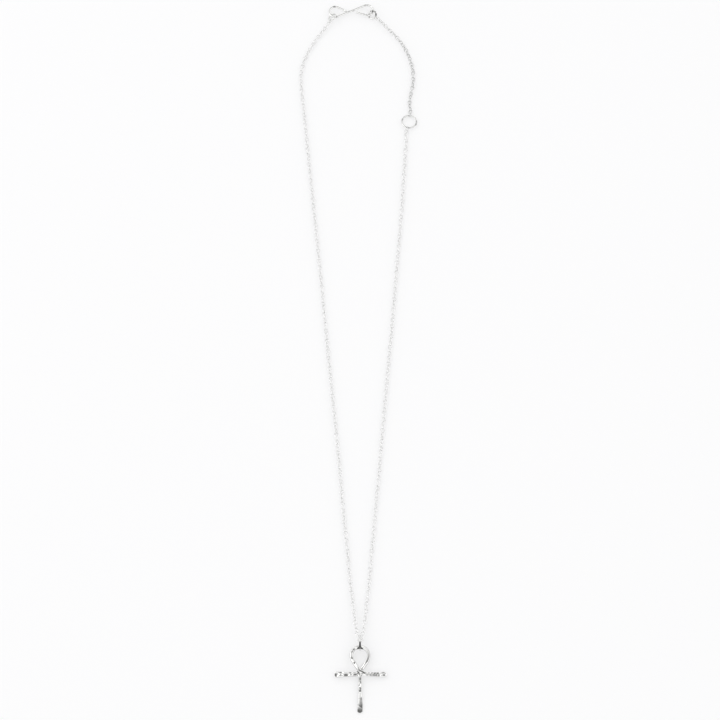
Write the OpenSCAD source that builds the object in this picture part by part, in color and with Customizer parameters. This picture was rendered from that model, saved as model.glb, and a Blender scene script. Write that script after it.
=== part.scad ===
// Silver ankh pendant on a fine cable chain, closed and laid out flat.
// X runs across, Y from the pendant up to the clasp, and Z up from the surface it lies on.
// All sizes are in millimetres.

/* [Ankh] */
// Thickness of the round wire that the loop and arms are forged from
ankh_wire = 1.45; // [1.2:0.05:1.7]
// Width of the loop, between wire centres
loop_width = 6.7; // [6:0.1:7.6]
// Height of the loop's top above the line of the arms, between wire centres
loop_height = 10.8; // [9.8:0.1:12.5]
// Radius of the loop's long sides, below its round top
side_radius = 5; // [4.2:0.1:5.6]
// Height above the arms at which the two legs of the loop cross
cross_height = 1; // [0.8:0.1:1.4]
// Radius of the elbow that turns each leg into an arm
elbow_radius = 3.2; // [2.4:0.1:3.6]
// Reach of the left arm from the middle of the ankh
left_arm = 9.8; // [8.6:0.1:11]
// Reach of the right arm from the middle of the ankh
right_arm = 10.4; // [8.6:0.1:11]
// Length of the stem below the line of the arms
stem_length = 15; // [13:0.1:17]
// Hammered width of the left arm's tip
left_tip_width = 2.4; // [1.9:0.05:2.7]
// Hammered width of the right arm's tip
right_tip_width = 2.15; // [1.9:0.05:2.7]
// Hammered width of the stem's tip
stem_tip_width = 2.25; // [1.9:0.05:2.7]
// Hammered thickness of all three tips
tip_thickness = 0.8; // [0.6:0.05:1.1]
// Corner radius of the squarish left tip
left_tip_round = 0.6; // [0.3:0.05:0.85]
// Corner radius of the right tip
right_tip_round = 0.85; // [0.3:0.05:0.85]
// Corner radius of the stem's tip
stem_tip_round = 0.85; // [0.3:0.05:0.85]
// Diameter of the ball at the stem's head, tucked under the crossing
ball_d = 1.75; // [1.5:0.05:2]

/* [Bail ring] */
// Inner diameter of the jump ring that joins the ankh to the chain
bail_inner = 4.7; // [4.4:0.1:5.4]
// Thickness of the bail ring's wire
bail_wire = 0.7; // [0.5:0.05:0.9]

/* [Chain] */
// Distance from the hook down to the bail ring, as the necklace lies
laid_reach = 295.5; // [285:0.1:305]
// Outer length of one chain link
link_length = 2.47; // [2.2:0.01:2.8]
// Outer width of one chain link, and so of the whole chain
link_width = 1.75; // [1.6:0.01:1.8]
// Thickness of the chain's wire
link_wire = 0.42; // [0.32:0.01:0.42]

/* [Shortening ring] */
// Inner diameter of the ring that the hook catches to wear the chain shorter
adjust_inner = 5.6; // [4.2:0.1:6.2]
// Thickness of the shortening ring's wire
adjust_wire = 0.7; // [0.5:0.02:0.7]

/* [Hook clasp] */
// Overall length of the S hook
hook_length = 20.7; // [18:0.1:23]
// Overall height of each of the hook's two loops
hook_height = 6.5; // [6:0.1:7.2]
// Thickness of the hook's wire
hook_wire = 1; // [0.8:0.05:1.1]
// Length of the straight return that ends each loop
hook_return = 3.6; // [2.6:0.1:4.2]
// Diameter of the ball on each end of the hook
hook_ball = 1.3; // [1.1:0.05:1.5]
// Gap at the mouth of the closed left loop
closed_gap = 0.3; // [0.2:0.05:0.5]
// Gap at the mouth of the open right loop
open_gap = 0.95; // [0.7:0.05:1.3]

/* [End rings] */
// Inner diameter of the rings at the two ends of the chain
end_inner = 3; // [2.8:0.05:3.4]
// Thickness of the end rings' wire
end_wire = 0.7; // [0.5:0.02:0.7]

/* [Fits] */
// Clearance between pieces that are linked through each other
link_gap = 0.1; // [0.05:0.01:0.12]

/* [Hidden] */
$fn = 48;

// Where the bail ring, the shortening ring and the hook lie in the drawing
drawn_bail = [1, -136.5];
drawn_adjust = [22.4, 101.3];
drawn_hook = [-2.9, 159];
// Places and routes stretch along Y until the hook and the bail ring are as far apart as is set
stretch = laid_reach / (drawn_hook[1] - drawn_bail[1]);
bail_at = stretched(drawn_bail);
adjust_at = stretched(drawn_adjust);
hook_at = stretched(drawn_hook);
// The hook is turned a little, and each end ring is pulled out along its chain
hook_turn = 3.4;
left_pull = -116;
right_pull = -45;
// The chain leaves the shortening ring along these directions
adjust_down = -104;
adjust_up = 84;

// Route of the chain's centre from the left end ring down to the bail: x, y, lift
left_route = [
    [-16, 147.8, 0.15], [-19.6, 142, 0], [-22.5, 136, 0], [-24.3, 130.4, 0],
    [-24.9, 124.6, 0], [-24.6, 117.5, 0], [-23.5, 107, 0], [-21.6, 87, 0],
    [-19.6, 67, 0], [-17.7, 47.5, 0], [-15.8, 28, 0], [-14, 9, 0],
    [-12.3, -9.5, 0], [-10.5, -28, 0], [-8.7, -46, 0], [-7.1, -63.5, 0],
    [-5.7, -80.5, 0], [-4, -97.5, 0], [-2.7, -112, 0.02], [-1.5, -122, 0.4],
    [-0.7, -129, 1.15]];
// Route from the bail up to the shortening ring
right_route = [
    [2.7, -129, 1.15], [3.4, -122, 0.4], [4.5, -112, 0.02], [5.6, -98.5, 0],
    [7.1, -81.5, 0], [8.6, -64.5, 0], [10.1, -46.5, 0], [11.6, -28.5, 0],
    [13.2, -10.5, 0], [14.8, 8, 0], [16.3, 27, 0], [17.9, 46, 0],
    [19.3, 65.5, 0], [20.5, 84, 0], [21, 92, 0]];
// Route from the shortening ring up to the right end ring
upper_route = [
    [22.6, 109.5, 0], [23.1, 114.5, 0], [24.2, 120.5, 0], [24.3, 127, 0],
    [23.1, 133.4, 0], [21, 139.2, 0], [17.9, 144.5, 0], [13.6, 149.7, 0.15]];

// A tube stands for the chain's links, as wide as they are
tube_sides = 8;
tube_r = link_width / 2 / cos(180 / tube_sides);
// The tube has a ring at least every so many millimetres and every so many degrees of bend
tube_step = 20;
tube_bend = 7;
chain_z = link_width / 2;
link_r = (link_width - link_wire) / 2;
link_straight = link_length - link_width;
// The tube ends this far from the wire of a ring that it hangs from
tube_clear = 1.5 * link_gap;

// An angle that points straight down the drawing
straight_down = 270;

// Bail ring, which stands upright with the ankh and the chain inside it
bail_r = (bail_inner + bail_wire) / 2;
bail_z = bail_inner / 2 + bail_wire;
// The ankh's wire and the chain rest this far below the ring's middle height
ankh_drop = 35;
chain_drop = 20;
ankh_in = bail_inner / 2 - ankh_wire / 2 - link_gap;
chain_in = bail_inner / 2 - tube_r - link_gap;
loop_top_y = bail_at[1] - ankh_in * cos(ankh_drop);
loop_top_z = bail_z - ankh_in * sin(ankh_drop);
turn_r = bail_wire / 2 + tube_r + link_gap;
turn_y = bail_at[1] + chain_in * cos(chain_drop);
turn_z = bail_z - chain_in * sin(chain_drop);
turn_steps = 8;

// The ankh leans on its stem's tip and on the bail ring
ankh_reach = loop_height + stem_length;
ankh_lean = asin(loop_top_z / norm([ankh_reach, ankh_wire / 2])) - atan2(ankh_wire / 2, ankh_reach);
tip_y = loop_top_y - ankh_reach * cos(ankh_lean) + ankh_wire / 2 * sin(ankh_lean);

// Loop of the ankh: a round top, two long sides and straight legs that cross
loop_r = loop_width / 2;
round_y = loop_height - loop_r;
side_x = side_radius - loop_r;
cross_to_side = norm([side_x, round_y - cross_height]);
leg_slope = 180 - atan2(round_y - cross_height, side_x) - asin(side_radius / cross_to_side);
elbow_in = elbow_radius * tan(leg_slope / 2);
elbow_x = cross_height / tan(leg_slope);

// Places along a half of the forged wire: 0 loop top, 1 widest point, 2 end of the side,
// 3 start of the elbow, 4 end of the elbow, 5 tip of the arm
arm_start = 4;
arm_end = 5;
// Columns of the tables, after the place: share of the way to the tip's section, share of the lift
FLARE = 1;
LIFT = 2;
// The front leg climbs over the back one
front_leg = [
    [0, 0, 0], [1, 0, 0.04], [1.6, 0.03, 0.2], [2.2, 0.08, 0.55], [2.8, 0.15, 0.92],
    [3.2, 0.18, 1], [3.6, 0.22, 0.9], [4, 0.26, 0.45], [4.2, 0.32, 0.14], [4.4, 0.42, 0.02],
    [4.7, 0.76, 0], [4.9, 1, 0], [5, 1, 0]];
back_leg = [
    [0, 0, 0], [1, 0, 0], [2, 0.08, 0], [3, 0.18, 0], [3.6, 0.2, 0], [4.2, 0.3, 0],
    [4.5, 0.5, 0], [4.7, 0.8, 0], [4.9, 1, 0], [5, 1, 0]];
// The stem, from its head to its tip
stem_form = [[0, 0], [0.3, 0.02], [0.55, 0.12], [0.7, 0.45], [0.85, 0.9], [1, 1]];
// Rings of the swept wire in each part of a half: top, side, leg, elbow, then arm and stem
part_rings = [9, 6, 4, 7];
arm_rings = 9;
stem_rings = 10;
wire_sides = 16;
// How square the hammered tips are in section: 1 is a plain oval
tip_square = 0.75;
// Hairline left between the two legs where they cross, which the ball closes
seam = 0.03;
// Share of the way to the tip's section that both legs have where they cross
cross_flare = 0.2;
leg_thickness = ankh_wire + (tip_thickness - ankh_wire) * cross_flare;
cross_lift = leg_thickness + seam;
ball_sink = 0.15;
ball_y = -ball_sink;
ball_z = leg_thickness - ball_sink;
// Share of a tip's thickness that is hammered away at its very end
tip_thinning = 0.3;

// S hook: two round loops joined by a slanting spine
hook_r = (hook_height - hook_wire) / 2;
hook_half = hook_length / 2 - hook_wire / 2 - hook_r;
spine_slope = asin(hook_r / hook_half);
hook_sides = 12;
hook_steps = 18;
return_steps = 2;
ball_steps = 6;
// Angle on the ball at which its last ring closes it
ball_end = 165;

// End rings, tilted just enough to clear the hook's wire on both sides, with room for its bend
end_r = (end_inner + end_wire) / 2;
bend_room = 0.1;
end_clear = (hook_wire + end_wire) / 2 + link_gap + bend_room;
pull_share = 0.6;
end_pull = pull_share * (end_r - end_clear);
tilt_sum = end_r * end_r - end_pull * end_pull + end_clear * end_clear;
end_tilt = asin(sqrt((tilt_sum - sqrt(tilt_sum * tilt_sum - 4 * end_r * end_r * end_clear * end_clear))
                     / (2 * end_r * end_r)));
hook_z = end_r * sin(end_tilt) + end_wire / 2;

function unit(v) = v / norm(v);
function along(angle) = [cos(angle), sin(angle), 0];
function column(table, at, which) = lookup(at, [for (row = table) [row[0], row[which]]]);

// Centre of one of the hook's loops, and of the end ring that is pulled out of it
function hook_loop(side) =
    [hook_at[0], hook_at[1], hook_z] + side * hook_half * along(hook_turn);
function end_ring_place(side, pull) = hook_loop(side) + (hook_r + end_pull) * along(pull);

// The point where a chain starts: just clear of the wire of the ring that it hangs from
function grip(centre, ring_r, angle) = centre + ring_r * along(angle);
function tube_start(centre, ring_r, wire, angle) =
    grip(centre, ring_r, angle) + (wire / 2 + tube_clear) * along(angle);

// A smooth curve through the route's points
function slope_at(p, i) =
    i == 0 ? unit(p[1] - p[0])
    : i == len(p) - 1 ? unit(p[i] - p[i - 1])
    : let (a = norm(p[i] - p[i - 1]), b = norm(p[i + 1] - p[i]))
      ((p[i] - p[i - 1]) * b / a + (p[i + 1] - p[i]) * a / b) / (a + b);
function between(p, i, t) =
    let (span = norm(p[i + 1] - p[i]), u = 1 - t)
    p[i] * u * u * (1 + 2 * t) + p[i + 1] * t * t * (3 - 2 * t)
    + span * t * u * (slope_at(p, i) * u - slope_at(p, i + 1) * t);
function smooth(p) = concat(
    [for (i = [0:len(p) - 2])
        let (
            bend = acos(min(1, unit(slope_at(p, i)) * unit(slope_at(p, i + 1)))),
            parts = ceil(max(norm(p[i + 1] - p[i]) / tube_step, bend / tube_bend)))
        for (k = [0:parts - 1]) between(p, i, k / parts)],
    [p[len(p) - 1]]);
function stretched(place) = [place[0], place[1] * stretch];
function laid(route) = [for (p = route) [each stretched(p), chain_z + p[2]]];

// Direction of a path of points at one of them
function heading(p, i) = unit(p[min(i + 1, len(p) - 1)] - p[max(i - 1, 0)]);
// One ring of a swept solid, measured across its flats, with a flat side down
function ring_around(centre, direction, across, thick, sides, square) =
    let (
        side = unit(cross([0, 0, 1], direction)),
        up = cross(direction, side),
        flats = pow(cos(180 / sides), square))
    [for (k = [0:sides - 1])
        let (a = (k + 0.5) * 360 / sides, c = cos(a), s = sin(a))
        centre + side * across / 2 / flats * sign(c) * pow(abs(c), square)
               + up * thick / 2 / flats * sign(s) * pow(abs(s), square)];

module skin(rings) {
    n = len(rings[0]);
    last = (len(rings) - 1) * n;
    polyhedron(
        points = [for (ring = rings) each ring],
        faces = concat(
            [[for (k = [0:n - 1]) k]],
            [[for (k = [n - 1:-1:0]) last + k]],
            [for (i = [0:len(rings) - 2], k = [0:n - 1])
                let (a = i * n + k, b = i * n + (k + 1) % n)
                each [[a, a + n, b + n], [a, b + n, b]]]));
}

module torus(ring_r, wire) {
    rotate_extrude() translate([ring_r, 0]) circle(d = wire);
}

// The ankh's forged wire: where its centre runs, on the left of the loop and out to the right arm
function half_at(place, reach) =
    place < 1 ? [loop_r * cos(90 + 90 * place), round_y + loop_r * sin(90 + 90 * place)]
    : place < 2 ? let (a = 180 + (90 - leg_slope) * (place - 1))
        [side_x + side_radius * cos(a), round_y + side_radius * sin(a)]
    : place < 3 ? let (
            a = straight_down - leg_slope,
            top = [side_x + side_radius * cos(a), round_y + side_radius * sin(a)],
            low = [elbow_x - elbow_in * cos(leg_slope), elbow_in * sin(leg_slope)])
        top + (low - top) * (place - 2)
    : place < arm_start ? let (a = straight_down - leg_slope * (arm_start - place))
        [elbow_x + elbow_in + elbow_radius * cos(a), elbow_radius + elbow_radius * sin(a)]
    : [elbow_x + elbow_in + (reach - elbow_x - elbow_in) * (place - arm_start), 0];

// Places of the rings: along the loop, then along the arm, then closer together round the tip
tip_steps = [10, 30, 50, 70, 84];
function tip_inset(corner, a) = corner * (1 - sin(a));
function loop_places() =
    [for (part = [0:len(part_rings) - 1], k = [0:part_rings[part] - 1]) part + k / part_rings[part]];
function arm_places(reach, corner) =
    let (run = reach - elbow_x - elbow_in, tip = 1 - corner / run)
    concat([for (k = [0:arm_rings - 1]) arm_start + tip * k / arm_rings],
           [for (a = tip_steps) arm_end - tip_inset(corner, a) / run]);
// Width that the corner's round takes off at a point near the tip
function tip_cut(from_tip, corner) =
    from_tip >= corner ? 0 : 2 * (corner - sqrt(corner * corner - pow(corner - from_tip, 2)));
function thinned(from_tip, corner) =
    from_tip >= corner ? 0 : tip_thinning * pow(1 - from_tip / corner, 2);

// A half of the wire as sections: centre, width, thickness, squareness
function half_wire(form, reach, width, corner) =
    [for (place = concat(loop_places(), arm_places(reach, corner)))
        let (
            at = half_at(place, reach),
            flare = column(form, place, FLARE),
            from_tip = reach - at[0],
            thick = (ankh_wire + flare * (tip_thickness - ankh_wire)) * (1 - thinned(from_tip, corner)),
            across = ankh_wire + flare * (width - ankh_wire) - tip_cut(from_tip, corner))
        [[at[0], at[1], thick / 2 + cross_lift * column(form, place, LIFT)], across, thick,
         squareness(flare)]];
function squareness(flare) = 1 + flare * (tip_square - 1);
function mirrored(sections) =
    [for (s = sections) [[-s[0][0], s[0][1], s[0][2]], s[1], s[2], s[3]]];
function backwards(list) = [for (i = [len(list) - 1:-1:0]) list[i]];

function stem_sections() =
    let (run = stem_length, tip = 1 - stem_tip_round / run)
    [for (place = concat([for (k = [0:stem_rings - 1]) tip * k / stem_rings],
                         [for (a = tip_steps) 1 - tip_inset(stem_tip_round, a) / run]))
        let (
            flare = column(stem_form, place, FLARE),
            from_tip = run * (1 - place),
            thick = (ankh_wire + flare * (tip_thickness - ankh_wire))
                    * (1 - thinned(from_tip, stem_tip_round)),
            across = ankh_wire + flare * (stem_tip_width - ankh_wire)
                     - tip_cut(from_tip, stem_tip_round))
        [[0, -run * place, thick / 2], across, thick, squareness(flare)]];

module forged(sections, sides) {
    path = [for (s = sections) s[0]];
    skin([for (i = [0:len(path) - 1])
        let (s = sections[i]) ring_around(s[0], heading(path, i), s[1], s[2], sides, s[3])]);
}

// One wire bent into the loop and both arms, soldered to the stem at its ball
module ankh() {
    back = mirrored(half_wire(back_leg, left_arm, left_tip_width, left_tip_round));
    front = half_wire(front_leg, right_arm, right_tip_width, right_tip_round);
    color("silver")
    translate([bail_at[0], tip_y, 0])
    rotate([ankh_lean, 0, 0])
    translate([0, stem_length, 0]) {
        forged(concat(backwards(back), [for (i = [1:len(front) - 1]) front[i]]), wire_sides);
        forged(stem_sections(), wire_sides);
        translate([0, ball_y, ball_z]) sphere(d = ball_d);
    }
}

module bail_ring() {
    color("gainsboro")
    translate([bail_at[0], bail_at[1], bail_z]) rotate([0, 90, 0]) torus(bail_r, bail_wire);
}

// A chain link that grips a ring: its near end passes round the ring's wire
module end_link(centre, ring_r, wire, angle, roll) {
    at = grip(centre, ring_r, angle) + (link_length / 2 - link_wire - wire / 2 - link_gap) * along(angle);
    translate(at) rotate([0, 0, angle]) rotate([90 + roll, 0, 0]) {
        for (turn = [0, 180]) rotate([0, 0, turn]) {
            translate([link_straight / 2, 0, 0])
                rotate([0, 0, -90]) rotate_extrude(angle = 180) translate([link_r, 0]) circle(d = link_wire);
            translate([-link_straight / 2, link_r, 0])
                rotate([0, 90, 0]) cylinder(d = link_wire, h = link_straight);
        }
    }
}

module chain_tube(path) {
    skin([for (i = [0:len(path) - 1])
        ring_around(path[i], heading(path, i), link_width, link_width, tube_sides, 1)]);
}

function adjust_centre() = [adjust_at[0], adjust_at[1], chain_z];

// The turn through the bail, with the bail's wire between the two sides
function bail_turn() = [for (k = [0:turn_steps])
    let (a = 180 + 180 * k / turn_steps)
    [bail_at[0] + turn_r * cos(a), turn_y + turn_r * (1 + sin(a)), turn_z]];

// The main chain, from the left end ring through the bail to the shortening ring
module chain() {
    start = tube_start(end_ring_place(-1, left_pull), end_r, end_wire, left_pull);
    finish = tube_start(adjust_centre(), (adjust_inner + adjust_wire) / 2, adjust_wire, adjust_down);
    color("lightgray") {
        chain_tube(concat(
            smooth(concat([start, start + link_length * along(left_pull)], laid(left_route),
                          [bail_turn()[0]])),
            [for (k = [1:turn_steps - 1]) bail_turn()[k]],
            smooth(concat([bail_turn()[turn_steps]], laid(right_route),
                          [finish + link_length * along(adjust_down), finish]))));
        end_link(end_ring_place(-1, left_pull), end_r, end_wire, left_pull, end_tilt);
        end_link(adjust_centre(), (adjust_inner + adjust_wire) / 2, adjust_wire, adjust_down, 0);
    }
}

// The stretch of chain between the shortening ring and the right end ring
module chain_extension() {
    start = tube_start(adjust_centre(), (adjust_inner + adjust_wire) / 2, adjust_wire, adjust_up);
    finish = tube_start(end_ring_place(1, right_pull), end_r, end_wire, right_pull);
    color("lightgray") {
        chain_tube(smooth(concat([start, start + link_length * along(adjust_up)], laid(upper_route),
                                 [finish + link_length * along(right_pull), finish])));
        end_link(adjust_centre(), (adjust_inner + adjust_wire) / 2, adjust_wire, adjust_up, 0);
        end_link(end_ring_place(1, right_pull), end_r, end_wire, right_pull, end_tilt);
    }
}

module adjust_ring() {
    color("gainsboro") translate(adjust_centre()) torus((adjust_inner + adjust_wire) / 2, adjust_wire);
}

// Half of the hook's wire as sections, from the middle of the spine round the left loop
// to the ball on its end
function hook_half_wire(gap) =
    let (
        lean = atan2(hook_return, hook_r)
               + asin((hook_wire + gap - hook_r) / norm([hook_r, hook_return])),
        mouth = spine_slope + lean,
        foot = straight_down + spine_slope,
        loop = [-hook_half, 0, 0],
        inward = [sin(mouth), -cos(mouth), 0],
        turned = loop + hook_r * along(mouth),
        ball_r = hook_ball / 2,
        neck = asin(hook_wire / hook_ball),
        neck_at = hook_return - ball_r * cos(neck))
    concat(
        [for (k = [0:hook_steps])
            [loop + hook_r * along(foot + (mouth - foot) * k / hook_steps), hook_wire, hook_wire, 1]],
        [for (k = [1:return_steps])
            [turned + inward * neck_at * k / return_steps, hook_wire, hook_wire, 1]],
        [for (k = [1:ball_steps])
            let (a = neck + (ball_end - neck) * k / ball_steps, d = hook_ball * sin(a))
            [turned + inward * (hook_return - ball_r * cos(a)), d, d, 1]]);
function half_turned(sections) =
    [for (s = sections) [[-s[0][0], -s[0][1], s[0][2]], s[1], s[2], s[3]]];

module hook() {
    color("whitesmoke")
    translate([hook_at[0], hook_at[1], hook_z])
    rotate([0, 0, hook_turn])
    forged(concat(backwards(hook_half_wire(closed_gap)), half_turned(hook_half_wire(open_gap))),
           hook_sides);
}

module end_ring(side, pull) {
    color("gainsboro")
    translate(end_ring_place(side, pull)) rotate([0, 0, pull]) rotate([end_tilt, 0, 0])
        torus(end_r, end_wire);
}

module end_ring_left() {
    end_ring(-1, left_pull);
}

module end_ring_right() {
    end_ring(1, right_pull);
}

ankh();
bail_ring();
chain();
chain_extension();
adjust_ring();
hook();
end_ring_left();
end_ring_right();
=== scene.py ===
"""A silver ankh pendant on a fine cable chain with an S hook, closed and laid out flat.

Shapes are worked out in millimetres, X across, Y from the pendant up to the clasp and Z up from
the surface, and each piece is scaled to metres when it is finished.
"""
import math
import random

import bmesh
import bpy
from mathutils import Matrix, Vector, noise
from mathutils.bvhtree import BVHTree
from mathutils.kdtree import KDTree


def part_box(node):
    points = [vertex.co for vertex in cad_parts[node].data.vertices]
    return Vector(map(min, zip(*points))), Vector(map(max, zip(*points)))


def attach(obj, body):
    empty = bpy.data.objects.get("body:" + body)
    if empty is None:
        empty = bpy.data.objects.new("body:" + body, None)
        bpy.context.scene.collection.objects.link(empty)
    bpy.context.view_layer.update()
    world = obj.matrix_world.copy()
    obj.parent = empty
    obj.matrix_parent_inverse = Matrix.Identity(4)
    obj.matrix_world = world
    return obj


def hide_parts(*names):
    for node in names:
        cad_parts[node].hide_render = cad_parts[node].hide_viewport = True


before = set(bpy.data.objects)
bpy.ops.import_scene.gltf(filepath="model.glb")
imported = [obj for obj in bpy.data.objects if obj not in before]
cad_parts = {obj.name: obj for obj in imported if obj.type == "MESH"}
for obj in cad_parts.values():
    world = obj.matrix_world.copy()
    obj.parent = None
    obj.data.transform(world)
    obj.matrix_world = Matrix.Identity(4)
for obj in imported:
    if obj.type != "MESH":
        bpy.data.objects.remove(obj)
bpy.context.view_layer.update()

MM = 0.001
UP = Vector((0, 0, 1))

# Sizes, the same as the source's
LINK_LENGTH, LINK_WIDTH, LINK_WIRE = 2.47, 1.75, 0.42
LINK_GAP = 0.1
RING_WIRE = 0.7
END_R, ADJUST_R, BAIL_R = 1.85, 3.15, 2.7
TUBE_CLEAR = 1.5 * LINK_GAP
CHAIN_Z = LINK_WIDTH / 2
# How far an end ring leans, and the angles at which the chain leaves the rings
END_TILT = 36.8699
LEFT_PULL, RIGHT_PULL = -116, -45
ADJUST_DOWN, ADJUST_UP = -104, 84
# How far the ankh leans, where the tip of its stem rests, and how long its stem is
ANKH_LEAN = 3.22502
TIP_X, TIP_Y = 1, -163.468
STEM_LENGTH = 15
# The chain's three stretches, from the left ring down, from the bail up, and from the shortening
# ring on to the right one: X, Y and how far it's lifted off the surface
LEFT_ROUTE = [
    (-16, 147.8, 0.15), (-19.6, 142, 0), (-22.5, 136, 0), (-24.3, 130.4, 0), (-24.9, 124.6, 0),
    (-24.6, 117.5, 0), (-23.5, 107, 0), (-21.6, 87, 0), (-19.6, 67, 0), (-17.7, 47.5, 0),
    (-15.8, 28, 0), (-14, 9, 0), (-12.3, -9.5, 0), (-10.5, -28, 0), (-8.7, -46, 0),
    (-7.1, -63.5, 0), (-5.7, -80.5, 0), (-4, -97.5, 0), (-2.7, -112, 0.02), (-1.5, -122, 0.4),
    (-0.7, -129, 1.15)]
RIGHT_ROUTE = [
    (2.7, -129, 1.15), (3.4, -122, 0.4), (4.5, -112, 0.02), (5.6, -98.5, 0), (7.1, -81.5, 0),
    (8.6, -64.5, 0), (10.1, -46.5, 0), (11.6, -28.5, 0), (13.2, -10.5, 0), (14.8, 8, 0),
    (16.3, 27, 0), (17.9, 46, 0), (19.3, 65.5, 0), (20.5, 84, 0), (21, 92, 0)]
UPPER_ROUTE = [
    (22.6, 109.5, 0), (23.1, 114.5, 0), (24.2, 120.5, 0), (24.3, 127, 0), (23.1, 133.4, 0),
    (21, 139.2, 0), (17.9, 144.5, 0), (13.6, 149.7, 0.15)]

# Camera, in metres and degrees from straight above
CAMERA_AT = (0.001, -0.4041, 0.8008)
CAMERA_TILT = 26
FILM_WIDTH, FOCAL_LENGTH = 36, 108.15


def look():
    """The camera, where the photograph was taken from."""
    data = bpy.data.cameras.new("camera")
    data.sensor_width = FILM_WIDTH
    data.lens = FOCAL_LENGTH
    data.clip_start = 0.01
    camera = bpy.data.objects.new("camera", data)
    camera.location = CAMERA_AT
    camera.rotation_euler = (math.radians(CAMERA_TILT), 0, 0)
    bpy.context.collection.objects.link(camera)
    bpy.context.scene.camera = camera


# Small helpers
def centre_of(node):
    """Middle of a CAD node's box, in millimetres."""
    low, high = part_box(node)
    return (low + high) / 2 / MM


def ease(t):
    """A smooth step from 0 to 1 while t goes from 0 to 1."""
    t = max(0.0, min(1.0, t))
    return t * t * (3 - 2 * t)


def along(angle):
    """The level direction at an angle, in degrees, from the X axis."""
    return Vector((math.cos(math.radians(angle)), math.sin(math.radians(angle)), 0))


def basis(x, y, z, at):
    """The transform that takes the axes to x, y and z, and the origin to a point."""
    turn = Matrix((x, y, z)).transposed().to_4x4()
    return Matrix.Translation(at) @ turn


def finish_piece(name, bm, material, nodes):
    """Turns a shape in millimetres into a finished piece that stands for CAD nodes."""
    bmesh.ops.scale(bm, vec=Vector((MM, MM, MM)), verts=bm.verts)
    mesh = bpy.data.meshes.new(name)
    bm.to_mesh(mesh)
    bm.free()
    mesh.polygons.foreach_set("use_smooth", [True] * len(mesh.polygons))
    mesh.materials.append(material)
    obj = bpy.data.objects.new(name, mesh)
    bpy.context.collection.objects.link(obj)
    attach(obj, "root")
    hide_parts(*nodes)
    return obj


# Materials
# The black that tarnish and painted shade, shadow and dark reflection mix towards, and its roughness
TARNISH_AND_SHADE_BLACK = (0.009, 0.0085, 0.007, 1)
TARNISH_AND_SHADE_ROUGHNESS = 0.32
SCRATCH_DEPTH = 0.00002
# The clouding: the part of the noise that it uses, how dark it makes the silver and how rough
CLOUD_LOW, CLOUD_HIGH = 0.3, 0.7
CLOUD_SHADE, CLOUD_ROUGHER = 0.93, 1.8


def remap(nodes, low, high, new_low, new_high):
    """A node that maps the range from low to high onto a new one."""
    node = nodes.new("ShaderNodeMapRange")
    node.inputs["From Min"].default_value = low
    node.inputs["From Max"].default_value = high
    node.inputs["To Min"].default_value = new_low
    node.inputs["To Max"].default_value = new_high
    return node


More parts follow.
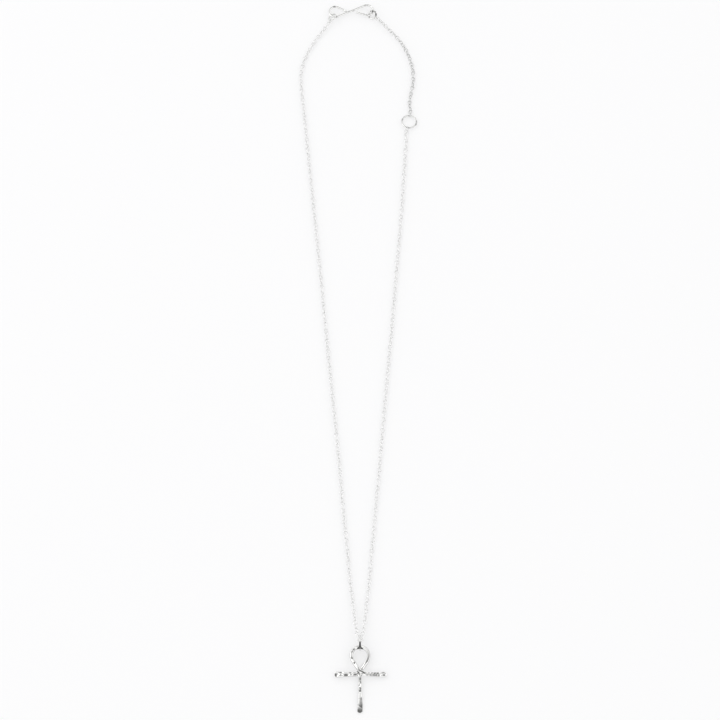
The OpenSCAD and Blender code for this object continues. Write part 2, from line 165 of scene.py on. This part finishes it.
def silver(name, shade, roughness, grain, scratch):
    """Polished silver: faint clouding, fine scratches and, where it is painted, dark tarnish and painted
    shade, shadow and dark reflection.
    """
    material = bpy.data.materials.new(name)
    material.use_nodes = True
    tree = material.node_tree
    nodes, links = tree.nodes, tree.links
    shader = nodes["Principled BSDF"]
    shader.inputs["Metallic"].default_value = 1.0
    shader.inputs["IOR"].default_value = 1.5

    where = nodes.new("ShaderNodeTexCoord")
    cloud = nodes.new("ShaderNodeTexNoise")
    cloud.inputs["Scale"].default_value = grain
    cloud.inputs["Detail"].default_value = 4
    links.new(where.outputs["Object"], cloud.inputs["Vector"])

    tone = nodes.new("ShaderNodeValToRGB")
    tone.color_ramp.elements[0].position = CLOUD_LOW
    tone.color_ramp.elements[0].color = tuple(CLOUD_SHADE * part for part in shade) + (1,)
    tone.color_ramp.elements[1].position = CLOUD_HIGH
    tone.color_ramp.elements[1].color = tuple(shade) + (1,)
    links.new(cloud.outputs["Fac"], tone.inputs["Fac"])

    gloss = remap(nodes, CLOUD_LOW, CLOUD_HIGH, roughness, roughness * CLOUD_ROUGHER)
    links.new(cloud.outputs["Fac"], gloss.inputs["Value"])

    stretch = nodes.new("ShaderNodeMapping")
    stretch.inputs["Rotation"].default_value = (0.3, 0.2, 0.6)
    stretch.inputs["Scale"].default_value = (1, 9, 3)
    links.new(where.outputs["Object"], stretch.inputs["Vector"])
    lines = nodes.new("ShaderNodeTexNoise")
    lines.inputs["Scale"].default_value = grain * 3
    lines.inputs["Detail"].default_value = 6
    lines.inputs["Roughness"].default_value = 0.7
    links.new(stretch.outputs["Vector"], lines.inputs["Vector"])
    bump = nodes.new("ShaderNodeBump")
    bump.inputs["Strength"].default_value = scratch
    bump.inputs["Distance"].default_value = SCRATCH_DEPTH
    links.new(lines.outputs["Fac"], bump.inputs["Height"])
    links.new(bump.outputs["Normal"], shader.inputs["Normal"])

    # Where tarnish and painted shade, shadow and dark reflection are painted, the silver goes towards
    # black
    painted = nodes.new("ShaderNodeAttribute")
    painted.attribute_name = "tarnish_and_shade"
    patchy = remap(nodes, 0.35, 0.65, 0.95, 1.15)
    links.new(lines.outputs["Fac"], patchy.inputs["Value"])
    tarnish_and_shade_mix = nodes.new("ShaderNodeMath")
    tarnish_and_shade_mix.operation = "MULTIPLY"
    tarnish_and_shade_mix.use_clamp = True
    links.new(painted.outputs["Fac"], tarnish_and_shade_mix.inputs[0])
    links.new(patchy.outputs["Result"], tarnish_and_shade_mix.inputs[1])

    colour = nodes.new("ShaderNodeMix")
    colour.data_type = "RGBA"
    colour.inputs["B"].default_value = TARNISH_AND_SHADE_BLACK
    links.new(tarnish_and_shade_mix.outputs["Value"], colour.inputs["Factor"])
    links.new(tone.outputs["Color"], colour.inputs["A"])
    links.new(colour.outputs["Result"], shader.inputs["Base Color"])

    dull = nodes.new("ShaderNodeMix")
    dull.inputs["B"].default_value = TARNISH_AND_SHADE_ROUGHNESS
    links.new(tarnish_and_shade_mix.outputs["Value"], dull.inputs["Factor"])
    links.new(gloss.outputs["Result"], dull.inputs["A"])
    links.new(dull.outputs["Result"], shader.inputs["Roughness"])
    return material


def paint(obj, values):
    """Paints a piece with tarnish and painted shade, from 0 for clean to 1 for black, vertex by vertex.
    """
    layer = obj.data.attributes.new("tarnish_and_shade", "FLOAT", "POINT")
    layer.data.foreach_set("value", values)


# Routes
def slope_at(p, i):
    """The way that a route runs at one of its points."""
    if i == 0:
        return (p[1] - p[0]).normalized()
    if i == len(p) - 1:
        return (p[i] - p[i - 1]).normalized()
    before, after = p[i] - p[i - 1], p[i + 1] - p[i]
    a, b = before.length, after.length
    return (before * (b / a) + after * (a / b)) / (a + b)


def between(p, i, t):
    """The point a share t of the way along the smooth curve from point i to the next."""
    span, u = (p[i + 1] - p[i]).length, 1 - t
    return (p[i] * (u * u * (1 + 2 * t)) + p[i + 1] * (t * t * (3 - 2 * t))
            + (slope_at(p, i) * u - slope_at(p, i + 1) * t) * (span * t * u))


def evenly(points, skip_start, skip_end, pitch):
    """Points at an even pitch along the smooth curve through a route's points."""
    per_span = 60
    fine = [between(points, i, k / per_span) for i in range(len(points) - 1) for k in range(per_span)]
    fine.append(points[-1])
    travelled = [0.0]
    for a, b in zip(fine, fine[1:]):
        travelled.append(travelled[-1] + (b - a).length)
    run = travelled[-1] - skip_start - skip_end
    count = round(run / pitch)
    out, at = [], 0
    for k in range(count + 1):
        want = skip_start + run * k / count
        while travelled[at + 1] < want and at < len(fine) - 2:
            at += 1
        share = (want - travelled[at]) / (travelled[at + 1] - travelled[at])
        out.append(fine[at].lerp(fine[at + 1], share))
    return out


def laid(route):
    """A route's points, in the middle of a chain that lies on the surface."""
    return [Vector((x, y, CHAIN_Z + lift)) for x, y, lift in route]


# Chain
LINK_R = (LINK_WIDTH - LINK_WIRE) / 2
LINK_STRAIGHT = LINK_LENGTH - LINK_WIDTH
LINK_END = LINK_R + LINK_STRAIGHT / 2
WIRE_GAP = 0.05
PITCH = 2 * LINK_END - LINK_WIRE - WIRE_GAP
# About how far each link is rolled on from the one before it, in degrees
ROLL_STEP = 66.7
WIRE_SIDES, HALF_TURN_STEPS = 6, 7
# How far a joint may be off its route, how far a link may be turned in degrees, and how many links
# it takes from a strand's end until one is turned that far
PLAY_X, PLAY_Y, PLAY_UP, PLAY_TURN = 0.04, 0.015, 0.05, 5
PLAY_LINKS = 4
# Where the chain passes through the bail: the place of its flat link beside the bail's middle, its
# height, its gap to the bail's wire and its roll, and the angles at which its two neighbours leave
TURN_ASIDE, TURN_Z, TURN_GAP, TURN_ROLL = 0.08, 2.6, 0.04, 4
LEG_YAWS = ((-1, 21), (1, 14))
LEG_SLOPE = 6.5
CHAIN_TARNISH = 0.01
# How much darker the extension is painted below, how much less above, and where that changes
EXTENSION_DARKENING, LIGHTER_BY, LIGHTER_FROM, LIGHTER_OVER = 0.18, 0.09, 138, 14


def link_shape():
    """One oval link in its own plane, long along X."""
    bm = bmesh.new()
    turn = Matrix.Rotation(math.radians(90), 4, "Y")
    bmesh.ops.create_circle(bm, segments=WIRE_SIDES, radius=LINK_WIRE / 2,
                            matrix=Matrix.Translation((LINK_STRAIGHT / 2, -LINK_R, 0)) @ turn)
    first = bm.edges[:]
    end = bmesh.ops.spin(bm, geom=first, cent=(LINK_STRAIGHT / 2, 0, 0), axis=(0, 0, 1),
                         angle=math.pi, steps=HALF_TURN_STEPS)["geom_last"]
    edges = [g for g in end if isinstance(g, bmesh.types.BMEdge)]
    side = bmesh.ops.extrude_edge_only(bm, edges=edges)["geom"]
    bmesh.ops.translate(bm, vec=(-LINK_STRAIGHT, 0, 0),
                        verts=[g for g in side if isinstance(g, bmesh.types.BMVert)])
    edges = [g for g in side if isinstance(g, bmesh.types.BMEdge)]
    end = bmesh.ops.spin(bm, geom=edges, cent=(-LINK_STRAIGHT / 2, 0, 0), axis=(0, 0, 1),
                         angle=math.pi, steps=HALF_TURN_STEPS)["geom_last"]
    last = [g for g in end if isinstance(g, bmesh.types.BMEdge)]
    bmesh.ops.bridge_loops(bm, edges=first + last)
    bmesh.ops.recalc_face_normals(bm, faces=bm.faces)
    mesh = bpy.data.meshes.new("link")
    bm.to_mesh(mesh)
    bm.free()
    return mesh


def add_link(bm, shape, centre, direction, roll):
    """Puts a link on the chain: roll 0 lies flat, 90 stands on edge."""
    side = UP.cross(direction).normalized()
    up = direction.cross(side)
    wide = side * math.cos(math.radians(roll)) + up * math.sin(math.radians(roll))
    copy = shape.copy()
    copy.transform(basis(direction, wide, direction.cross(wide), centre))
    bm.from_mesh(copy)
    bpy.data.meshes.remove(copy)


def add_strand(bm, shape, joints, roll_start, roll_end, rng):
    """Links from joint to joint, each rolled on from the one before it."""
    steps = len(joints)
    half_turns = round((ROLL_STEP * steps - (roll_end - roll_start)) / 180)
    step = (roll_end - roll_start + 180 * half_turns) / steps
    moved = [joints[0]]
    for joint in joints[1:-1]:
        moved.append(joint + Vector((rng.uniform(-PLAY_X, PLAY_X), rng.uniform(-PLAY_Y, PLAY_Y),
                                     rng.uniform(0, PLAY_UP))))
    moved.append(joints[-1])
    for i, (a, b) in enumerate(zip(moved, moved[1:])):
        near_end = min(i + 1, steps - 1 - i)
        wobble = rng.uniform(-PLAY_TURN, PLAY_TURN) * min(1, near_end / PLAY_LINKS)
        add_link(bm, shape, (a + b) / 2, (b - a).normalized(), roll_start + step * (i + 1) + wobble)


def ring_end(centre, ring_r, angle):
    """Where a chain leaves a ring: the end link's middle, its far joint, and the tube's start."""
    grip = centre + along(angle) * ring_r
    middle = grip + along(angle) * (LINK_LENGTH / 2 - LINK_WIRE - RING_WIRE / 2 - LINK_GAP)
    start = grip + along(angle) * (RING_WIRE / 2 + TUBE_CLEAR)
    joint = middle + along(angle) * PITCH / 2
    return middle, joint, start


def chain(material):
    """The main chain: left end ring, bail, shortening ring."""
    rng = random.Random(5)
    shape = link_shape()
    bm = bmesh.new()

    bail = centre_of("bail_ring")
    bar_radius = BAIL_R - (RING_WIRE + LINK_WIRE) / 2 - TURN_GAP
    turn_y = bail.y + math.sqrt(bar_radius ** 2 - (bail.z - TURN_Z) ** 2) - LINK_R
    turn = Vector((bail.x + TURN_ASIDE, turn_y, TURN_Z))
    add_link(bm, shape, turn, Vector((1, 0, 0)), TURN_ROLL)
    legs = []
    for side, yaw in LEG_YAWS:
        level = along(90 - side * yaw)
        pull = level * math.cos(math.radians(LEG_SLOPE)) - UP * math.sin(math.radians(LEG_SLOPE))
        inner = turn + Vector((side * LINK_STRAIGHT / 2, 0, 0)) + level * (LINK_R - LINK_WIRE - WIRE_GAP)
        middle = inner + pull * LINK_END
        add_link(bm, shape, middle, pull, 90)
        legs.append(middle + pull * PITCH / 2)

    middle, joint, start = ring_end(centre_of("end_ring_left"), END_R, LEFT_PULL)
    add_link(bm, shape, middle, along(LEFT_PULL), 90 + END_TILT)
    points = [start, start + along(LEFT_PULL) * LINK_LENGTH] + laid(LEFT_ROUTE) + [legs[0]]
    joints = evenly(points, (joint - start).length, 0, PITCH)
    add_strand(bm, shape, joints, 90 + END_TILT, 90, rng)

    middle, joint, start = ring_end(centre_of("adjust_ring"), ADJUST_R, ADJUST_DOWN)
    add_link(bm, shape, middle, along(ADJUST_DOWN), 90)
    points = [legs[1]] + laid(RIGHT_ROUTE) + [start + along(ADJUST_DOWN) * LINK_LENGTH, start]
    joints = evenly(points, 0, (joint - start).length, PITCH)
    add_strand(bm, shape, joints, 90, 90, rng)
    tarnish_and_shade = [CHAIN_TARNISH] * len(bm.verts)
    obj = finish_piece("chain_links", bm, material, ["chain"])
    paint(obj, tarnish_and_shade)


def extension(material):
    """The stretch of chain between the shortening ring and the right end ring."""
    rng = random.Random(8)
    shape = link_shape()
    bm = bmesh.new()
    middle, first, start = ring_end(centre_of("adjust_ring"), ADJUST_R, ADJUST_UP)
    add_link(bm, shape, middle, along(ADJUST_UP), 90)
    middle, last, finish = ring_end(centre_of("end_ring_right"), END_R, RIGHT_PULL)
    add_link(bm, shape, middle, along(RIGHT_PULL), 90 + END_TILT)
    points = ([start, start + along(ADJUST_UP) * LINK_LENGTH] + laid(UPPER_ROUTE)
              + [finish + along(RIGHT_PULL) * LINK_LENGTH, finish])
    joints = evenly(points, (first - start).length, (last - finish).length, PITCH)
    add_strand(bm, shape, joints, 90, 90 - END_TILT, rng)
    # The extension is painted darker, a little less towards its top
    tarnish_and_shade = [EXTENSION_DARKENING - LIGHTER_BY * ease((v.co.y - LIGHTER_FROM) / LIGHTER_OVER)
               for v in bm.verts]
    obj = finish_piece("extension_links", bm, material, ["chain_extension"])
    paint(obj, tarnish_and_shade)


# Rings
RING_SIDES, RING_STEPS = 18, 64
CUT_ANGLE, CUT_BEVEL = 1.6, 0.05
RING_TARNISH = 0.1


def tilted(pull):
    """How an end ring lies: turned to face its chain and leaning on the surface."""
    return (Matrix.Rotation(math.radians(pull), 4, "Z")
            @ Matrix.Rotation(math.radians(END_TILT), 4, "X"))


def ring(name, node, ring_r, place, seam_at, spots, material):
    """A jump ring of round wire, cut through once and closed, with its cut ends just apart."""
    bm = bmesh.new()
    gap = math.radians(CUT_ANGLE)
    start = math.radians(seam_at) + gap / 2
    turn = Matrix.Rotation(start, 4, "Z") @ Matrix.Translation((ring_r, 0, 0)) @ Matrix.Rotation(
        math.radians(90), 4, "X")
    bmesh.ops.create_circle(bm, segments=RING_SIDES, radius=RING_WIRE / 2, matrix=turn)
    bmesh.ops.spin(bm, geom=bm.edges[:], cent=(0, 0, 0), axis=(0, 0, 1), angle=2 * math.pi - gap,
                   steps=RING_STEPS)
    rim = [e for e in bm.edges if e.is_boundary]
    bmesh.ops.holes_fill(bm, edges=rim, sides=0)
    bmesh.ops.bevel(bm, geom=rim, offset=CUT_BEVEL, segments=2, profile=0.5, affect="EDGES",
                    material=-1)
    bmesh.ops.recalc_face_normals(bm, faces=bm.faces)
    bmesh.ops.transform(bm, matrix=Matrix.Translation(centre_of(node)) @ place, verts=bm.verts)
    # The rings' even tarnish, with dark spots on top, which on the bail are painted reflection and
    # shadow
    tarnish_and_shade = darken([RING_TARNISH] * len(bm.verts), bm, spots)
    obj = finish_piece(name, bm, material, [node])
    paint(obj, tarnish_and_shade)


# Dark spots on the rings and the hook: the middle of each, its reach and its strength. On the bail they
# are a painted dark reflection along its wire and painted shadow where it sits on the loop
BAIL_SPOTS = [
    ((1, -137.05, 6.07), 0.45, 0.8), ((1, -137.4, 6), 0.55, 1), ((1, -137.75, 5.87), 0.6, 1),
    ((1, -138.1, 5.7), 0.65, 1), ((1, -138.4, 5.5), 0.65, 1), ((1, -138.8, 5.15), 0.6, 1),
    ((1, -139.1, 4.65), 0.55, 0.9)]
ADJUST_SPOTS = [
    ((19.2, 102.4, 1.15), 0.8, 0.55), ((19.9, 103.6, 1.15), 0.7, 0.35), ((25.4, 99.8, 1.15), 0.9, 0.5),
    ((25.4, 101.2, 1.15), 0.8, 0.4), ((21.6, 98.3, 1.2), 0.7, 0.75), ((22.5, 104.1, 0.8), 0.7, 0.5)]
RIGHT_SPOTS = [
    ((6, 158.4, 2), 0.7, 0.6), ((6.8, 158.2, 2.4), 0.8, 0.9), ((7.5, 157.5, 2.5), 0.8, 0.9),
    ((7.95, 156.6, 2.35), 0.8, 0.9), ((8.2, 156, 1.9), 0.6, 0.6), ((5.2, 156.3, 0.7), 0.6, 0.5),
    ((7.5, 155.3, 1.35), 0.5, 0.3)]
HOOK_SPOTS = [
    ((-10.6, 161.2, 1.9), 0.8, 0.5), ((-11.8, 157, 1.8), 0.7, 0.35), ((-9.6, 155.8, 1.9), 0.7, 0.55),
    ((2.9, 157.4, 1.8), 0.55, 0.7), ((3.9, 157.3, 1.8), 0.55, 0.8), ((5, 157.2, 1.8), 0.55, 0.7),
    ((3.2, 161.8, 1.9), 0.6, 0.35), ((-4.2, 158.7, 1.8), 1, 0.3), ((-1.9, 159, 1.4), 0.9, 0.3)]


# Hammering, tarnish and painted shade

# How far from its middle a blow still works, in the dish's own radius, and over how much it fades
BLOW_SPREAD, BLOW_FADE = 1.7, 0.6
# How far a blow may push a point down at most: so much, and so many times its depth on top
PUSH_BASE, PUSH_BY_DEPTH = 0.1, 1.6
# A height that is above the whole ankh
ABOVE_ALL = 6
# What an even surface counts for when corners are looked for
FLAT_SHARE = 0.02
# How steep the edge of a spot is: 1 is as soft as it can be
SPOT_EDGE = 1.7


def smooth(bm):
    """Moves each point half way to the middle of its neighbours."""
    bmesh.ops.smooth_vert(bm, verts=bm.verts, factor=0.5, use_axis_x=True, use_axis_y=True,
                          use_axis_z=True)


def uneven(bm, amount, scale):
    """Makes hand-forged sides a little uneven, without touching the height of the front."""
    for v in bm.verts:
        swell = amount * noise.noise(v.co * scale)
        v.co.x += v.normal.x * swell
        v.co.y += v.normal.y * swell


def planish(bm, blows):
    """Hammers the front: each blow leaves a shallow dish, given by its place, depth, dome and slant."""
    skin = BVHTree.FromBMesh(bm)
    bm.verts.ensure_lookup_table()
    plan = KDTree(len(bm.verts))
    for i, v in enumerate(bm.verts):
        plan.insert((v.co.x, v.co.y, 0), i)
    plan.balance()
    for x, y, depth, dome, slant_x, slant_y in blows:
        top = skin.ray_cast(Vector((x, y, ABOVE_ALL)), -UP)[0]
        if top is None:
            continue
        reach = math.sqrt(2 * dome * depth)
        most = PUSH_BASE + PUSH_BY_DEPTH * depth
        for place, i, far in plan.find_range((x, y, 0), BLOW_SPREAD * reach):
            v = bm.verts[i]
            dish = (top.z - depth + far * far / (2 * dome)
                    + (place.x - x) * math.tan(math.radians(slant_x))
                    + (place.y - y) * math.tan(math.radians(slant_y)))
            if v.co.z > dish:
                v.co.z -= min(v.co.z - dish, most) * ease((BLOW_SPREAD - far / reach) / BLOW_FADE)
    smooth(bm)


def crevices(bm, reach, gain, base, sides):
    """Paints shade and patina: painted shade on the sides, and more the deeper in a corner, as painted
    occlusion shade with some patina.
    """
    bm.verts.ensure_lookup_table()
    bm.normal_update()
    tree = KDTree(len(bm.verts))
    for i, v in enumerate(bm.verts):
        tree.insert(v.co, i)
    tree.balance()
    values = []
    for v in bm.verts:
        total, count = 0.0, 0
        for co, _, far in tree.find_range(v.co, reach):
            if far > 1e-6:
                total += (co - v.co).dot(v.normal) / far
                count += 1
        # Sides facing away from the top get painted shade; deeper corners get painted occlusion shade
        # and patina
        low = base + (sides - base) * ease(1 - v.normal.z)
        values.append(max(low, min(1.0, gain * (total / max(1, count) + FLAT_SHARE))))
    return values


def darken(values, bm, spots):
    """Adds dark spots, some of them painted shade, shadow and reflection: the middle of each, its reach
    in millimetres and its strength.
    """
    for middle, size, strength in spots:
        middle = Vector(middle)
        for i, v in enumerate(bm.verts):
            far = (v.co - middle).length / size
            if far < 1:
                values[i] = max(values[i], strength * ease(SPOT_EDGE * (1 - far)))
    return values


def fine_copy(node, voxel, rounds):
    """A CAD node's shape as an even, fine skin, in millimetres."""
    bm = bmesh.new()
    bm.from_mesh(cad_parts[node].data)
    bmesh.ops.scale(bm, vec=Vector((1 / MM,) * 3), verts=bm.verts)
    bmesh.ops.remove_doubles(bm, verts=bm.verts, dist=0.0005)
    mesh = bpy.data.meshes.new("rough")
    bm.to_mesh(mesh)
    bm.free()
    rough = bpy.data.objects.new("rough", mesh)
    bpy.context.collection.objects.link(rough)
    remesh = rough.modifiers.new("skin", "REMESH")
    remesh.mode = "VOXEL"
    remesh.voxel_size = voxel
    skin = bpy.data.meshes.new_from_object(rough.evaluated_get(bpy.context.evaluated_depsgraph_get()))
    bm = bmesh.new()
    bm.from_mesh(skin)
    for _ in range(rounds):
        smooth(bm)
    bpy.data.objects.remove(rough)
    bpy.data.meshes.remove(mesh)
    bpy.data.meshes.remove(skin)
    return bm


# Ankh
ANKH_PLACE = (Matrix.Translation((TIP_X, TIP_Y, 0)) @ Matrix.Rotation(math.radians(ANKH_LEAN), 4, "X")
              @ Matrix.Translation((0, STEM_LENGTH, 0)))

# Hammer blows in the ankh's own frame: place, depth, radius of the hammer's dome, and by how many
# degrees the dish rises to the right and up the ankh
BLOWS = [
    # Left arm, from its tip
    (-9.6, 0, 0.16, 5, 0, 0), (-7.7, -0.45, 0.14, 4, 0, 15), (-7.5, 0.45, 0.14, 4, 0, -15),
    (-5.4, -0.15, 0.24, 5, 0, 1), (-3.5, -0.35, 0.14, 3, 0, 14), (-3.7, 0.35, 0.14, 3, 0, -14),
    (-1.8, -0.1, 0.17, 5, 0, 1),
    # Right arm, out to its tip
    (1.4, 0, 0.12, 7, -3, -2), (2.1, -0.1, 0.2, 8, -2, 2), (2.8, 0.1, 0.22, 7, 0, -2),
    (3.4, -0.4, 0.2, 4.5, 0, 0), (3.9, 0.3, 0.18, 4.5, 0, 0), (4.4, -0.45, 0.17, 4.5, 0, 0),
    (4.9, 0.3, 0.16, 4.5, 0, 0), (5.4, -0.45, 0.15, 4.5, 0, 0), (5.9, 0.3, 0.14, 4.5, 0, 0),
    (6.4, -0.4, 0.13, 4.5, 0, 0), (6.9, 0.3, 0.11, 4, 0, 0), (7.3, -0.5, 0.11, 3, 0, 0),
    (9.2, -0.5, 0.14, 6, 0, 15), (9, 0.5, 0.14, 6, 0, -15),
    # Stem, from its head
    (0.15, -1.8, 0.12, 8, -2, 0), (0.2, -3, 0.13, 7, -4, 1), (0, -4.3, 0.24, 3, 15, 0),
    (0.15, -5.6, 0.13, 7, -4, 0), (0.1, -6.6, 0.14, 9, -2, 0), (0, -8.4, 0.2, 3, 14, 0),
    (0, -10.7, 0.28, 14, -4.5, -1), (0, -12.6, 0.25, 14, -4, -1), (0, -14.2, 0.24, 18, 0, 0),
    # Down the right of the loop, then the left
    (2.1, 9.9, 0.14, 20, 6, 4), (2.95, 8.9, 0.16, 22, 8, 3), (3.35, 7.7, 0.16, 25, 9, 0),
    (2.9, 5.3, 0.07, 4, 6, 0), (-1.6, 10.3, 0.1, 6, 6, 8), (-3.1, 8.8, 0.06, 4, -4, 0),
    (-3.25, 6.6, 0.07, 4, -6, 0), (-2.2, 4.3, 0.06, 4, 5, 0)]
# Dark spots in the same frame, mostly painted shade, shadow and dark reflection, with some patina: the
# middle of each, its reach and its strength
ANKH_SPOTS = [
    # Painted shadow and dark reflection where the bail sits on the loop
    ((-0.9, 10, 1), 0.45, 1), ((-0.6, 10, 1.05), 0.6, 1), ((-0.25, 10.1, 1.1), 0.7, 1),
    ((0.25, 10.1, 1.1), 0.7, 1), ((0.6, 10, 1.05), 0.6, 1), ((0.9, 10, 1), 0.45, 1),
    ((-0.3, 10.4, 1.2), 0.6, 1), ((0.3, 10.4, 1.2), 0.6, 1), ((0, 10.75, 1.3), 0.6, 1),
    # Painted shade, with some patina, in the corners and along the seam of the crossing
    ((-1.35, 2.5, 1.4), 0.7, 0.7), ((-1, 1.9, 1.3), 0.7, 0.8), ((0.65, 1.75, 1.3), 0.6, 0.6),
    ((-0.4, 1.3, 2.5), 0.45, 0.75), ((0, 1, 2.4), 0.45, 0.8), ((0.35, 0.95, 2.25), 0.45, 0.8),
    ((0.7, 0.85, 2.05), 0.45, 0.85), ((1.05, 0.65, 1.85), 0.45, 0.9), ((1.4, 0.45, 1.7), 0.45, 0.9),
    ((1.8, 0.25, 1.55), 0.45, 0.8), ((2.9, -0.35, 1.35), 0.45, 0.6), ((0.65, -0.65, 1.3), 0.45, 0.6),
    # Painted dark reflection along the right arm
    ((2.2, 0.2, 1.4), 0.7, 0.4), ((2.6, -0.3, 1.3), 0.6, 0.35), ((3.3, 0.1, 1.2), 0.75, 0.35),
    ((4.1, -0.2, 1.2), 0.7, 0.3), ((4.9, 0.1, 1.2), 0.6, 0.25),
    # Painted dark reflection down the right of the stem, and on its foot
    ((0.45, -9.3, 1.1), 0.65, 0.45), ((0.45, -9.8, 1.05), 0.75, 0.5),
    ((0.4, -10.4, 1), 0.85, 0.55), ((0.4, -11, 0.95), 0.9, 0.55), ((0.4, -11.6, 0.9), 0.9, 0.4),
    ((-0.7, -14.3, 0.6), 0.95, 0.6), ((-0.1, -14.8, 0.5), 0.7, 0.5)]


def ankh(material):
    """The forged ankh: an even skin of its solid, made uneven, hammered, tarnished and painted with
    shade, shadow and dark reflection.
    """
    bm = fine_copy("ankh", voxel=0.1, rounds=8)
    bmesh.ops.transform(bm, matrix=ANKH_PLACE.inverted(), verts=bm.verts)
    bm.normal_update()
    uneven(bm, amount=0.09, scale=0.75)
    planish(bm, BLOWS)
    # Painted shade on the sides and in the corners, with patina in the corners, then the painted dark
    # spots
    tarnish_and_shade = darken(crevices(bm, reach=0.45, gain=8, base=0.03, sides=0.4), bm, ANKH_SPOTS)
    bmesh.ops.transform(bm, matrix=ANKH_PLACE, verts=bm.verts)
    obj = finish_piece("ankh_hammered", bm, material, ["ankh"])
    paint(obj, tarnish_and_shade)


# Hook
def hook(material):
    """The S hook: an even, smooth skin of its solid, with a little tarnish, painted shade on its sides
    and in its corners, and dark spots.
    """
    bm = fine_copy("hook", voxel=0.09, rounds=6)
    # A little painted shade on the sides, painted occlusion shade with patina in the corners, and dark
    # spots
    tarnish_and_shade = darken(crevices(bm, reach=0.4, gain=5, base=0.04, sides=0.08), bm, HOOK_SPOTS)
    obj = finish_piece("hook_forged", bm, material, ["hook"])
    paint(obj, tarnish_and_shade)


# Light and floor
TENT_LIGHT = 1.12
# How the tent dims near the floor: the heights between which it does, and how bright it is there
SKIRT_LOW, SKIRT_HIGH, SKIRT_LIGHT = 0.12, 0.5, 0.75
# The tent's dark gaps: the direction of each, its dark and its whole radius in degrees, and how dark
TENT_GAPS = [
    ((0, 0.36, 0.933), 11, 24, 0.82),
    ((0, -0.4384, 0.8988), 7, 12, 0.8),
    ((0, -0.88, 0.47), 6, 20, 0.6)]
LAMP_AT, LAMP_ENERGY = (-0.65, 0.35, 1.05), 1.2
LAMP_SIZE, LAMP_COLOUR = (0.7, 0.5), (1, 0.995, 0.985)
# The floor, in metres: half its width, how far below the necklace it lies, and its looks
FLOOR_HALF, FLOOR_DROP = 6, 0.00002
FLOOR_GREY, FLOOR_GLOW = (0.44, 0.44, 0.445, 1), 0.53


def studio():
    """A white tent, dimmer near the floor, with three dark gaps, and a soft lamp high on the left."""
    world = bpy.data.worlds.new("tent")
    bpy.context.scene.world = world
    world.use_nodes = True
    nodes, links = world.node_tree.nodes, world.node_tree.links
    background = nodes["Background"]
    where = nodes.new("ShaderNodeTexCoord")
    height = nodes.new("ShaderNodeSeparateXYZ")
    links.new(where.outputs["Generated"], height.inputs["Vector"])
    skirt = remap(nodes, SKIRT_LOW, SKIRT_HIGH, SKIRT_LIGHT, 1)
    skirt.interpolation_type = "SMOOTHSTEP"
    links.new(height.outputs["Z"], skirt.inputs["Value"])
    tone = skirt.outputs["Result"]
    for towards, inner, outer, dark in TENT_GAPS:
        dot = nodes.new("ShaderNodeVectorMath")
        dot.operation = "DOT_PRODUCT"
        dot.inputs[1].default_value = towards
        links.new(where.outputs["Generated"], dot.inputs[0])
        patch = remap(nodes, math.cos(math.radians(outer)), math.cos(math.radians(inner)), 1, 1 - dark)
        patch.interpolation_type = "SMOOTHSTEP"
        links.new(dot.outputs["Value"], patch.inputs["Value"])
        both = nodes.new("ShaderNodeMath")
        both.operation = "MULTIPLY"
        links.new(tone, both.inputs[0])
        links.new(patch.outputs["Result"], both.inputs[1])
        tone = both.outputs["Value"]
    background.inputs["Color"].default_value = (TENT_LIGHT, TENT_LIGHT, TENT_LIGHT, 1)
    links.new(tone, background.inputs["Strength"])

    lamp = bpy.data.lights.new("soft_lamp", "AREA")
    lamp.shape = "RECTANGLE"
    lamp.size, lamp.size_y = LAMP_SIZE
    lamp.energy = LAMP_ENERGY
    lamp.color = LAMP_COLOUR
    holder = bpy.data.objects.new("soft_lamp", lamp)
    holder.location = LAMP_AT
    holder.rotation_euler = (-holder.location).to_track_quat("-Z", "Y").to_euler()
    bpy.context.collection.objects.link(holder)


def floor():
    """A plain pale surface that glows faintly, as a light table does, so that shadows stay soft."""
    bm = bmesh.new()
    bmesh.ops.create_grid(bm, x_segments=1, y_segments=1, size=FLOOR_HALF,
                          matrix=Matrix.Translation((0, 0, -FLOOR_DROP)))
    mesh = bpy.data.meshes.new("floor")
    bm.to_mesh(mesh)
    bm.free()
    obj = bpy.data.objects.new("floor", mesh)
    bpy.context.collection.objects.link(obj)
    material = bpy.data.materials.new("pale_surface")
    material.use_nodes = True
    shader = material.node_tree.nodes["Principled BSDF"]
    shader.inputs["Base Color"].default_value = FLOOR_GREY
    shader.inputs["Emission Color"].default_value = (1, 1, 1, 1)
    shader.inputs["Emission Strength"].default_value = FLOOR_GLOW
    shader.inputs["Roughness"].default_value = 1
    shader.inputs["Specular IOR Level"].default_value = 0
    mesh.materials.append(material)


# The whole necklace
look()
studio()
floor()
bpy.context.scene.view_settings.view_transform = "Standard"

chain_silver = silver("chain_silver", shade=(0.95, 0.95, 0.945), roughness=0.12, grain=900,
                      scratch=0.15)
ring_silver = silver("ring_silver", shade=(0.94, 0.94, 0.93), roughness=0.09, grain=700,
                     scratch=0.25)
forged_silver = silver("forged_silver", shade=(0.96, 0.96, 0.95), roughness=0.045, grain=500,
                       scratch=0.15)

chain(chain_silver)
extension(chain_silver)
ring("bail_jump_ring", "bail_ring", BAIL_R, Matrix.Rotation(math.radians(90), 4, "Y"),
     seam_at=160, spots=BAIL_SPOTS, material=ring_silver)
ring("shortening_ring", "adjust_ring", ADJUST_R, Matrix.Identity(4),
     seam_at=25, spots=ADJUST_SPOTS, material=ring_silver)
ring("left_jump_ring", "end_ring_left", END_R, tilted(LEFT_PULL),
     seam_at=80, spots=[], material=ring_silver)
ring("right_jump_ring", "end_ring_right", END_R, tilted(RIGHT_PULL),
     seam_at=-100, spots=RIGHT_SPOTS, material=ring_silver)
ankh(forged_silver)
hook(forged_silver)
